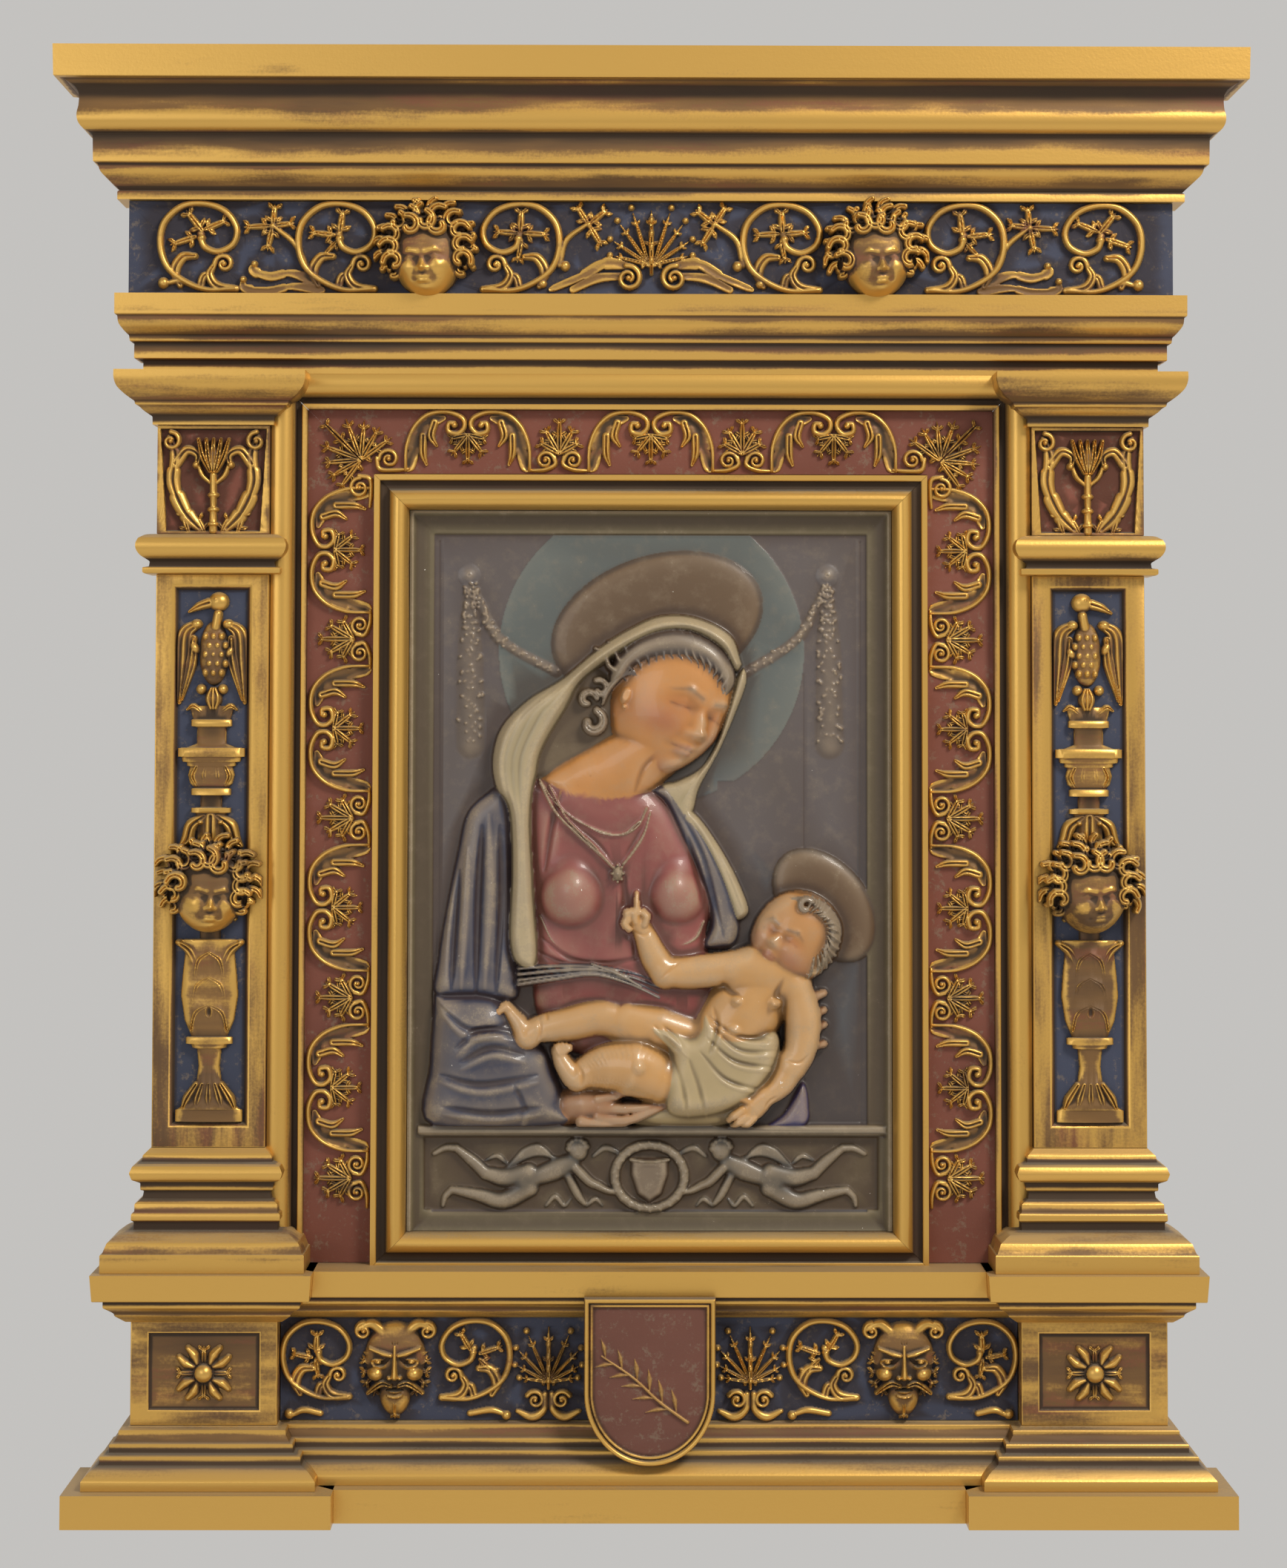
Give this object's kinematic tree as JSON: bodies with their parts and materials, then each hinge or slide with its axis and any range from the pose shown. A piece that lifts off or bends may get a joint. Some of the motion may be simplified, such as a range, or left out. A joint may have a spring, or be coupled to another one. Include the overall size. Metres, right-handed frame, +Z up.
{
  "type": "framed plaster relief",
  "caption": "Painted plaster relief of a mother and child in a gilded wall tabernacle with pilasters, carved friezes, pedestals and cornice.",
  "frame": {"origin": "hanging point in the middle of the back of the wall panel, 640 mm above the foot", "axes": "+X to the viewer's right, +Y into the wall, +Z up; the front faces -Y"},
  "size_m": [1.052, 0.108, 1.2863],
  "materials": {
    "gilding": "worn gold leaf over red-brown bole on carved wood",
    "dark_gilding": "darkened gold leaf on carved wood",
    "red_ground": "matt brick-red paint with gilded carving",
    "blue_ground": "matt dark blue paint with gilded carving",
    "painted_plaster": "painted and varnished plaster, aged",
    "old_wood": "bare old board"
  },
  "bodies": {
    "root": {"architrave": "gilding", "border_left": "red_ground", "border_right": "red_ground", "border_top": "red_ground", "capital_bell_left": "red_ground", "capital_bell_right": "red_ground", "capital_left": "gilding", "capital_right": "gilding", "cornice": "gilding", "foot_moulding": "gilding", "frieze": "blue_ground", "frieze_cherub_left": "dark_gilding", "frieze_cherub_right": "dark_gilding", "inner_frame_bottom": "gilding", "inner_frame_left": "gilding", "inner_frame_right": "gilding", "inner_frame_top": "gilding", "necking_left": "gilding", "necking_right": "gilding", "pedestal_base_left": "gilding", "pedestal_base_right": "gilding", "pedestal_cap_left": "gilding", "pedestal_cap_right": "gilding", "pedestal_left": "gilding", "pedestal_right": "gilding", "pedestal_rosette_left": "dark_gilding", "pedestal_rosette_right": "dark_gilding", "pilaster_base_left": "gilding", "pilaster_base_right": "gilding", "pilaster_candelabrum_left": "dark_gilding", "pilaster_candelabrum_right": "dark_gilding", "pilaster_cherub_left": "dark_gilding", "pilaster_cherub_right": "dark_gilding", "pilaster_shaft_left": "gilding", "pilaster_shaft_right": "gilding", "plaster_relief": "painted_plaster", "plinth_centre": "gilding", "plinth_left": "gilding", "plinth_right": "gilding", "predella": "blue_ground", "shield": "red_ground", "sill": "gilding", "surround_left": "gilding", "surround_right": "gilding", "surround_top": "gilding", "wall_panel": "old_wood"}
  },
  "joints": []
}
